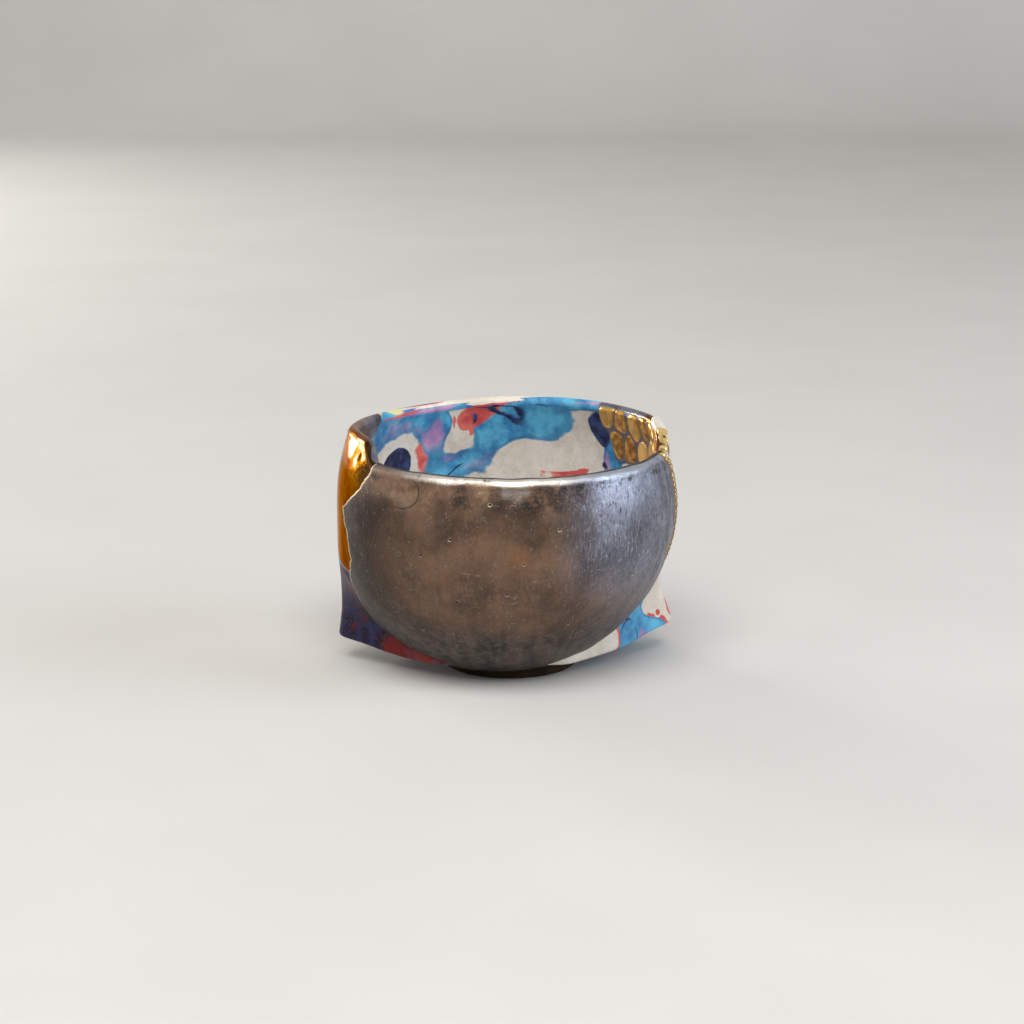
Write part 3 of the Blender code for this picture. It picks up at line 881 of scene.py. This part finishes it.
# The marks on its lustre, at (direction, height), and its swells as (height, wavelength, seed)
RING_STAIN = (231.6, 42.4)
RUST_SPOT = (272.9, 31.2)
DARK_BLOTCHES = (
    (253.5, 42.4, 2.6), (246.0, 41.6, 1.8), (266.0, 42.2, 2.2), (277.0, 41.9, 3.4),
    (286.0, 42.4, 3.2), (294.0, 43.2, 2.0), (226.0, 40.0, 1.8), (233.0, 38.6, 1.4),
)
# Tan blotches: a painted soft reflection at the upper left.
TAN_BLOTCHES = (
    (228.5, 43.2, 3.0), (234.0, 42.0, 3.6), (241.5, 41.8, 2.8), (247.0, 44.0, 2.2), (261.0, 44.0, 3.0),
)
PALE_BLOTCHES = ((269.2, 43.9, 1.5), (272.4, 43.7, 1.8), (275.2, 44.0, 1.2))
PITS = (
    (274.5, 29.7), (269.0, 23.3), (250.6, 34.3), (251.8, 21.3), (292.8, 15.6), (263.5, 41.6),
    (284.0, 12.5), (300.5, 27.6), (240.0, 30.4), (286.2, 36.4), (318.0, 24.5),
)
PIT_DEPTH = 0.16
SCRATCHES = (
    ((302.4, 38.0), (306.5, 37.0)), ((302.4, 38.0), (303.0, 40.2)), ((302.4, 38.0), (299.0, 37.2)),
    ((302.4, 38.0), (300.4, 39.0)), ((296.0, 35.8), (300.8, 37.0)), ((294.0, 33.4), (298.0, 33.9)),
    ((262.5, 34.2), (266.0, 33.6)), ((296.5, 31.2), (297.0, 34.8)), ((293.0, 34.8), (296.8, 36.6)),
    ((254.0, 27.6), (260.0, 27.3)), ((311.0, 42.4), (320.0, 43.0)),
)
SHERD_SWELLS = ((0.07, 11.0, 21), (0.035, 4.5, 22))
WORN_SWELLS = ((0.16, 7.0, 24), (0.06, 1.4, 25))


def edge_direction(edge, height):
    """Direction of one of the sherd's side edges at a height, straight between its named points."""
    directions, heights = zip(*reversed(edge))
    return np.interp(height, heights, directions)


def chipped(height):
    """Small chips along the broken edge in degrees: three sine waves of unlike lengths over the height."""
    return sum(size * np.sin(height * rate + start) for size, rate, start in CHIPS)


def between_edges(share, height):
    """Directions from the broken edge at share 0 to the right edge at share 1, at a height."""
    left = edge_direction(BROKEN_EDGE, height) + chipped(height)
    return left + (edge_direction(SHERD_RIGHT_EDGE, height) - left) * share


def sherd_rows(share, rows, offset):
    """(direction, radius, height, turn) of one face of the sherd, offset from the bowl: an arc of the bowl's
    superellipse from the foot to the belly, the ellipse above it and then the lip's half ellipse."""
    low, high, over = rows
    part = np.linspace(1.0, 0.0, low)[:, None]
    direction = between_edges(share, BELLY_HEIGHT - BELLY_DEPTH * np.sin(part * np.pi / 2.0))
    fullness = bowl_fullness(direction)
    widest = belly_radius(direction)
    lowest = (1.0 - (SHERD_FOOT / widest) ** fullness) ** (1.0 / fullness)
    drop = np.sin(part * np.arcsin(lowest))
    radius = (widest + offset) * (1.0 - drop**fullness) ** (1.0 / fullness)
    stretches = [(direction, radius, BELLY_HEIGHT - (BELLY_DEPTH + offset) * drop, 0.0 * drop)]

    height = BELLY_HEIGHT + (RIM_FRONT - LIP_HEIGHT - BELLY_HEIGHT) * steps(1.0, high) + 0.0 * share
    direction = between_edges(share, height)
    stretches.append((direction, upper_radius(direction, height) + offset, height, 0.0 * height))

    turn = steps(SHERD_RIM_END, over) + 0.0 * share
    direction = between_edges(share, RIM_FRONT) + 0.0 * turn
    tucked = offset - (offset + 0.2) * eased(turn, SHERD_RIM_END - 26.0, SHERD_RIM_END) * (offset > 0.0)
    stretches.append((direction, *lip(direction, turn, tucked), turn))
    return [np.concatenate(part) for part in zip(*stretches)]


def away_from(direction, height, place):
    """Millimetres over the bowl to a place that begins with its direction and height."""
    return np.hypot((direction - place[0]) * DEGREE, height - place[1])


def nearest_of(direction, height, places):
    """Millimetres over the bowl to the nearest of the places."""
    return np.minimum.reduce([away_from(direction, height, place) for place in places])


def nearest_line(direction, height, lines):
    """Millimetres over the bowl to the nearest of the straight lines given by their two ends."""
    away = []
    for start, end in lines:
        run, rise = (end[0] - start[0]) * DEGREE, end[1] - start[1]
        across, up = (direction - start[0]) * DEGREE, height - start[1]
        share = np.clip((across * run + up * rise) / (run * run + rise * rise), 0.0, 1.0)
        away.append(np.hypot(across - share * run, up - share * rise))
    return np.minimum.reduce(away)


def blotches(direction, height, places):
    """1 in the middle of each (direction, height, size) blotch, fading out as a steep bell curve."""
    return np.maximum.reduce([bell(away_from(direction, height, place), place[2], 3) for place in places])


def sherd_marks(points, direction, height, turn, share):
    """Where the sherd's colours, rubbing and painted light go: distances in millimetres to its crest, edges,
    pits, scratches and ring, and shares that rise and fall as smooth steps and bell curves. Several shares
    place painted reflections, highlights and shade."""
    crest = (90.0 - turn) / 90.0 * LIP_CURVE + np.clip(RIM_FRONT - LIP_HEIGHT - height, 0.0, None)
    lower = swelling(points, crest, WORN_SWELLS)
    band = eased(crest, 0.2, 0.45) * eased(lower, 1.8, 1.1) * (0.1 + 0.9 * eased(direction, 222.0, 244.0))
    right = eased(direction, 281.0, 306.0) * eased(height, 16.0, 34.0)
    ring_across = (direction - RING_STAIN[0]) * DEGREE
    ring_up = height - RING_STAIN[1]
    brushing = np.stack((direction * DEGREE, 0.16 * height, 0.0 * height), axis=-1)
    return {
        # A band of rubbed silver along the rim, partly a painted highlight: strongest in the middle and
        # faint at the left.
        "rim_wear_and_highlight": band * (0.5 + 0.5 * bell(direction - 262.0, 60.0)),
        # Painted reflection: a bluish cast over the right side.
        "cool_reflection": np.clip(right + 0.45 * eased(direction, 290.0, 330.0), 0.0, 1.0),
        # Painted shade: darker towards the bottom.
        "low": eased(height, 18.5, 9.5),
        # Painted reflection: darker brown on the left side, fading out towards the rim.
        "left": eased(direction, 244.0, 212.0) * eased(height, 43.0, 37.0),
        # Painted highlight: lighter at the upper right.
        "high": eased(direction, 292.0, 312.0) * eased(height, 36.0, 43.0) * eased(direction, 340.0, 326.0),
        "dark": blotches(direction, height, DARK_BLOTCHES),
        # Painted soft reflection: lighter tan patches at the upper left.
        "tan": blotches(direction, height, TAN_BLOTCHES),
        "pale": blotches(direction, height, PALE_BLOTCHES),
        "rust": bell(nearest_of(direction, height, (RUST_SPOT,)), 1.9),
        "ring": np.hypot(ring_across, 1.35 * ring_up),
        "ring_side": eased(ring_across - 0.8 * ring_up, -1.0, 3.0),
        "scratch": nearest_line(direction, height, SCRATCHES),
        "pit": nearest_of(direction, height, PITS),
        # Distance from the broken edge, where a pale line is painted as a highlight.
        "edge": share * SHERD_WIDTH,
        "far_edge": (1.0 - share) * SHERD_WIDTH,
        "streak": random_waves(brushing, 1.9, 23),
        "crest": crest,
    }


def make_sherd():
    """The sherd as a closed plate proud of the bowl: rounded side edges, a hand-beaten face of two random
    swells and a dimple at each pit, and a plainer side buried in the wall."""
    rounding = SHERD_EDGE_ROUND * (1.0 - np.cos(np.linspace(0.0, np.pi / 2.0, 8)))[:-1]
    between = (SHERD_EDGE_ROUND, SHERD_WIDTH - SHERD_EDGE_ROUND)
    middle = np.linspace(*between, SHERD_COLUMNS - 2 * len(rounding))
    share = np.concatenate((rounding, middle, (SHERD_WIDTH - rounding)[::-1])) / SHERD_WIDTH
    edge = np.minimum(share, 1.0 - share) * SHERD_WIDTH
    round_off = np.sqrt(1.0 - (1.0 - np.clip(edge / SHERD_EDGE_ROUND, 0.0, 1.0)) ** 2)
    proud = SHERD_PROUD * round_off[None, :]
    direction, radius, height, turn = sherd_rows(share[None, :], SHERD_ROWS, proud)
    points = as_points(direction, radius, height)
    pits = bell(nearest_of(direction, height, PITS), 0.3)
    beaten = swelling(points, 0.0, SHERD_SWELLS) - 0.05 - PIT_DEPTH * pits
    points = points + grid_normals(points, False) * (beaten * round_off * eased(height, 2.0, 6.0))[..., None]

    behind = sherd_rows(share[None, :], SHERD_BACK_ROWS, -SHERD_BURIED)
    buried = as_points(*behind[:3])[::-1]
    faces = plate_faces(len(points), len(buried), len(share))
    fields = sherd_marks(points, direction, height, turn, share)
    unmarked = {name: FAR_AWAY for name in ("ring", "scratch", "pit", "edge", "far_edge", "crest")}
    marks = {name: (field, unmarked.get(name, 0.0)) for name, field in fields.items()}
    return write_mesh("lustre_sherd", (points, buried), faces, marks, lustre_finish())


# The gold scales inside the right rim
SCALES_FROM = -24.0
SCALES_TO = 56.0
SCALES_TOP = 0.25
SCALES_DEPTH = 17.0
SCALES_SLANT = 1.1
SCALE_WIDTH = 4.7
SCALE_LENGTH = 6.2
SCALE_SQUASH = 0.78
SCALE_BORDER = 0.05
SCALE_RAISED = 0.45
SCALE_SHOULDER = 1.2
SCALE_ROUNDING = 0.45
SCALE_GAP = 0.2
SCALE_SWELLS = ((0.03, 2.4, 31),)
SCALES_END = (-22.0, 49.0)
SCALES_SUNK = -0.35
SCALES_BURIED = 0.9
SCALE_COLUMNS = 300
SCALE_ROWS = 130
SCALE_BACK_ROWS = 12
INNER_REACH = 31.5


def scale_centres():
    """Middles of the scales as (arc, drop): a brick lattice, each moved by a seeded random step."""
    chance = np.random.default_rng(5)
    across = np.arange(-4, 10) * SCALE_WIDTH
    down = np.arange(-1, 4) * SCALE_LENGTH
    arc, drop = np.meshgrid(across, down)
    arc = arc + np.where(np.arange(len(down))[:, None] % 2 == 0, 0.0, SCALE_WIDTH / 2.0)
    arc = arc + chance.uniform(-0.24, 0.24, arc.shape) * SCALE_WIDTH
    drop = drop + 2.6 + chance.uniform(-0.2, 0.2, arc.shape) * SCALE_LENGTH
    return np.stack((arc.ravel(), drop.ravel()), axis=-1), chance.uniform(0.0, 1.0, arc.size)


def make_scales():
    """Pillows on the inner wall: each point takes its nearest middle, its distance to the borders with the
    next four is a soft minimum, which rounds the corners, and its height is a quarter ellipse of that
    distance. Scales outside the patch sink below the wall."""
    direction = np.linspace(SCALES_FROM, SCALES_TO, SCALE_COLUMNS)[None, ::-1]
    down = np.linspace(SCALES_TOP, SCALES_DEPTH, SCALE_ROWS)[::-1, None] + 0.0 * direction
    around = direction + 0.0 * down
    wall = as_points(around, *inner_wall(around, down))
    arc = np.radians(around) * INNER_REACH
    middles, tint = scale_centres()
    away = (arc[..., None] - middles[:, 0]) ** 2 + ((down[..., None] - middles[:, 1]) * SCALE_SQUASH) ** 2
    order = np.argsort(away, axis=-1)[..., :5]
    near = np.take_along_axis(away, order, axis=-1)
    first = middles[order[..., 0]]
    gap = (middles[order[..., 1:]] - first[..., None, :]) * np.array((1.0, SCALE_SQUASH))
    borders = (near[..., 1:] - near[..., :1]) / (2.0 * np.linalg.norm(gap, axis=-1))
    border = -SCALE_ROUNDING * np.log(np.exp(-borders / SCALE_ROUNDING).sum(axis=-1)) - SCALE_GAP
    pillow = np.sqrt(1.0 - (1.0 - np.clip(border / SCALE_SHOULDER, 0.0, 1.0)) ** 2)
    place = np.degrees(first[..., 0] / INNER_REACH)
    kept = (place > SCALES_END[0]) & (place < SCALES_END[1] - SCALES_SLANT * (first[..., 1] - 3.0))
    kept = kept & (first[..., 1] > -1.0)
    raised = np.where(kept, SCALE_BORDER + SCALE_RAISED * pillow, SCALES_SUNK)
    raised = raised + swelling(wall, 0.0, SCALE_SWELLS) * kept
    fade = eased(around, SCALES_FROM, SCALES_FROM + 1.5) * eased(down, SCALES_TOP, 1.0)
    raised = SCALES_SUNK + (raised - SCALES_SUNK) * fade
    normal = grid_normals(wall, False)
    front = wall + normal * raised[..., None]
    pick = np.linspace(0, SCALE_ROWS - 1, SCALE_BACK_ROWS).round().astype(int)
    buried = (wall - normal * SCALES_BURIED)[pick][::-1]
    faces = plate_faces(SCALE_ROWS, SCALE_BACK_ROWS, SCALE_COLUMNS)
    marks = {"groove": (np.where(kept, border + 0.4, 0.0), 0.0), "own_tint": (tint[order[..., 0]], 0.0)}
    return write_mesh("gold_scales", (front, buried), faces, marks, scale_finish())


# The beaded collar on the right rim corner's lip, and the line down the sherd's right edge
COLLAR_FROM = 377.0
COLLAR_TO = 342.0
COLLAR_KNOB = 370.0
COLLAR_STEPS = 190
COLLAR_SHOWN = 27
COLLAR_HIDDEN = 9
COLLAR_TURNS = (16.0, 118.0)
COLLAR_LEVEL = 0.2
COLLAR_SUNK = 0.3
COLLAR_BURIED = 0.7
COLLAR_SWELLS = ((0.24, 2.1, 51), (0.1, 1.1, 52))
KNOB_WIDTH = 6.0
KNOB_CORE = 4.0
KNOB_HEIGHT = 0.5
KNOB_TURN = 45.0
SEAM_BOTTOM = 20.0
SEAM_BESIDE = 0.5
SEAM_PROUD = 0.22
SEAM_RADIUS = 0.62
SEAM_TAPER = 8.0
SEAM_SPREAD = 1.3
BEAD_LENGTH = 1.3
SEAM_STEPS = 420
SEAM_SIDES = 14
SMOOTHING = 12


def tube_faces(rows, sides, first):
    """Faces of a tube of closed sections, numbered from the first point, with a flat cap at each end."""
    column = np.arange(sides)
    caps = [(column[::-1] + first).tolist(), ((rows - 1) * sides + column + first).tolist()]
    return (grid_quads(rows, sides, True) + first).tolist() + caps


def collar_points():
    """The collar: each section follows the lip's half ellipse in front, raised by random lumps, which fade
    to nothing at its sides and ends and swell to a knob at the corner, and comes back inside the wall."""
    along = np.linspace(COLLAR_FROM, COLLAR_TO, COLLAR_STEPS)[:, None]
    knob = hill(along, COLLAR_KNOB, KNOB_WIDTH)
    share = np.append(np.linspace(0.0, 1.0, COLLAR_SHOWN), np.linspace(0.9, 0.1, COLLAR_HIDDEN))[None, :]
    turn = COLLAR_TURNS[0] + (COLLAR_TURNS[1] - COLLAR_TURNS[0] + KNOB_TURN * knob) * share
    front = np.arange(COLLAR_SHOWN + COLLAR_HIDDEN)[None, :] < COLLAR_SHOWN
    shown = np.sqrt(np.sin(np.pi * np.clip(share, 0.0, 1.0)))
    lumps = swelling(as_points(along, *lip(along, turn, 0.0)), COLLAR_LEVEL, COLLAR_SWELLS)
    lumps = lumps * (1.0 - hill(along, COLLAR_KNOB, KNOB_CORE)) + KNOB_HEIGHT * knob
    ends = eased(along, COLLAR_FROM, COLLAR_FROM - 3.0) * eased(along, COLLAR_TO, COLLAR_TO + 2.0)
    raised = np.where(front, -COLLAR_SUNK + (COLLAR_SUNK + lumps) * ends * shown, -COLLAR_BURIED)
    return as_points(along, *lip(along, turn, raised)), lumps, knob


def seam_points():
    """The line: sections along the sherd's right edge from the lip down, evened out to equal steps of
    length and smoothed, whose radius swells once a bead and tapers away at both ends."""
    height = np.linspace(RIM_FRONT - 0.6, SEAM_BOTTOM, 400)
    direction = edge_direction(SHERD_RIGHT_EDGE, height) + SEAM_BESIDE
    radius = round_radius(direction, height, bowl_fullness(direction)) + SEAM_PROUD
    path = as_points(direction, radius, height)
    length = np.concatenate(((0.0,), np.cumsum(np.linalg.norm(np.diff(path, axis=0), axis=1))))
    even = np.linspace(0.0, length[-1], SEAM_STEPS)
    path = np.stack([np.interp(even, length, path[:, axis]) for axis in range(3)], axis=-1)
    kernel = np.hanning(2 * SMOOTHING + 1) / np.hanning(2 * SMOOTHING + 1).sum()
    padded = np.pad(path, ((SMOOTHING, SMOOTHING), (0, 0)), mode="reflect", reflect_type="odd")
    path = np.stack([np.convolve(padded[:, axis], kernel, mode="valid") for axis in range(3)], axis=-1)
    bead = np.abs(np.sin(even / BEAD_LENGTH * np.pi + 0.9 * np.sin(even * 0.9) + 0.5 * np.sin(even * 2.3)))
    ends = np.sqrt(np.clip(even, 0.0, 1.0)) * np.sqrt(np.clip((even[-1] - even) / SEAM_TAPER, 0.0, 1.0))
    thick = SEAM_RADIUS * (0.76 + 0.24 * bead) * ends
    along = np.gradient(path, axis=0)
    along /= np.linalg.norm(along, axis=1, keepdims=True)
    side = np.cross(along, (path - AXIS) * np.array((1.0, 1.0, 0.0)))
    side /= np.linalg.norm(side, axis=1, keepdims=True)
    out = np.cross(side, along)
    turn = np.linspace(0.0, 2.0 * np.pi, SEAM_SIDES, endpoint=False)[None, :, None]
    ring = out[:, None] * np.cos(turn) + side[:, None] * np.sin(turn) * SEAM_SPREAD
    return path[:, None] + ring * thick[:, None, None], bead[:, None]


def make_seam():
    """The collar on the lip and the line below it: two closed tubes that overlap at the sherd's corner."""
    collar, lumps, knob = collar_points()
    line, bead = seam_points()
    faces = tube_faces(*collar.shape[:2], 0) + tube_faces(*line.shape[:2], collar[..., 0].size)
    passed = np.arange(line[..., 0].size).reshape(line.shape[:2]) / line[..., 0].size
    marks = {
        "bead": (np.clip(0.5 + 2.4 * (lumps - COLLAR_LEVEL), 0.0, 1.0), bead),
        # The knob, which the finish colours near white as a painted highlight.
        "knob": (knob, 0.0),
        "bright": (1.0, 0.4 * eased(passed, 0.5, 0.0)),
    }
    return write_mesh("gold_seam", (collar, line), faces, marks, seam_finish())


# Stage, lights and camera

FLOOR_HALF_WIDTH = 1800.0
FLOOR_FRONT = -1300.0
FLOOR_BACK = 900.0
SWEEP_RADIUS = 180.0
BACKDROP_TOP = 1500.0
WINDOW_PLACE = (-640.0, 640.0, 220.0)
WINDOW_SPACING = (92.0, 92.0, 98.0)


def make_stage():
    """A pale floor that sweeps up into a backdrop: a flat, a quarter circle and an upright."""
    bend = np.radians(np.linspace(0.0, 90.0, 25))[1:]
    flat = np.linspace(FLOOR_FRONT, FLOOR_BACK, 12)
    depth = np.concatenate((flat, FLOOR_BACK + SWEEP_RADIUS * np.sin(bend)))
    rise = np.concatenate((0.0 * flat, SWEEP_RADIUS * (1.0 - np.cos(bend)), (BACKDROP_TOP,)))
    depth = np.append(depth, depth[-1])
    across = np.linspace(-FLOOR_HALF_WIDTH, FLOOR_HALF_WIDTH, 5)
    points = np.stack(np.broadcast_arrays(across, depth[:, None], rise[:, None]), axis=-1)
    faces = grid_quads(len(depth), len(across), False).tolist()
    return write_mesh("floor", (points,), faces, {}, stage_finish())


def add_panel(name, place, size, strength, tint, shape="RECTANGLE"):
    """A soft light of the given shape at a place, turned to face the cup."""
    light = bpy.data.lights.new(name, "AREA")
    light.shape = shape
    light.size = size[0] * MM
    light.size_y = size[1] * MM
    light.energy = strength
    light.color = tint
    lamp = bpy.data.objects.new(name, light)
    lamp.location = Vector(place) * MM
    lamp.visible_camera = False
    lamp.rotation_euler = (Vector(AIM) * MM - lamp.location).to_track_quat("-Z", "Y").to_euler()
    bpy.context.scene.collection.objects.link(lamp)


def add_lights():
    """A four-paned window behind on the left, soft panels on both sides, a soft one above and a dim room."""
    for across in (-1, 1):
        for up in (-1, 1):
            place = np.array(WINDOW_PLACE) + np.array(WINDOW_SPACING) * (across, across, up)
            add_panel(f"window_pane_{across}_{up}", place, (200.0, 145.0), 1.2, (1.0, 0.98, 0.94), "ELLIPSE")
    add_panel("left_wall", (-900.0, -160.0, 420.0), (1100.0, 800.0), 1.5, (1.0, 0.97, 0.92))
    add_panel("cool_window", (940.0, -260.0, 420.0), (560.0, 620.0), 6.0, (0.84, 0.91, 1.0))
    add_panel("overhead", (-60.0, -620.0, 900.0), (800.0, 700.0), 11.0, (1.0, 0.98, 0.95))
    world = bpy.data.worlds.new("room")
    bpy.context.scene.world = world
    world.use_nodes = True
    world.node_tree.nodes["Background"].inputs["Color"].default_value = (0.84, 0.82, 0.80, 1.0)
    world.node_tree.nodes["Background"].inputs["Strength"].default_value = 0.25


def add_camera():
    """The photographer's eye: back from the aim along -Y and up by the height angle, on a long lens."""
    angle = np.radians(CAMERA_HEIGHT_ANGLE)
    place = np.array(AIM) + CAMERA_DISTANCE * np.array((0.0, -np.cos(angle), np.sin(angle)))
    lens = bpy.data.cameras.new("camera")
    lens.sensor_width = 36.0
    lens.lens = LENS
    lens.clip_start = 0.01
    camera = bpy.data.objects.new("camera", lens)
    camera.location = Vector(place * MM)
    camera.rotation_euler = (np.pi / 2.0 - angle, 0.0, 0.0)
    bpy.context.scene.collection.objects.link(camera)
    bpy.context.scene.camera = camera


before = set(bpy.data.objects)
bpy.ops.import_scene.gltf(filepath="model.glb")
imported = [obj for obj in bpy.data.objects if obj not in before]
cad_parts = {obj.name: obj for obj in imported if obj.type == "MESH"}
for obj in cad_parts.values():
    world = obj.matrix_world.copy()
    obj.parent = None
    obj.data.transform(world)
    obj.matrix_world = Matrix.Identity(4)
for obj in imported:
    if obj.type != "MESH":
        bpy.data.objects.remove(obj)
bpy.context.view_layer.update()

for piece in (make_body(), make_sherd(), make_scales(), make_seam()):
    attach(piece, "root")
    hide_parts("sake_cup")
make_stage()
add_lights()
add_camera()
bpy.context.scene.view_settings.view_transform = "Standard"
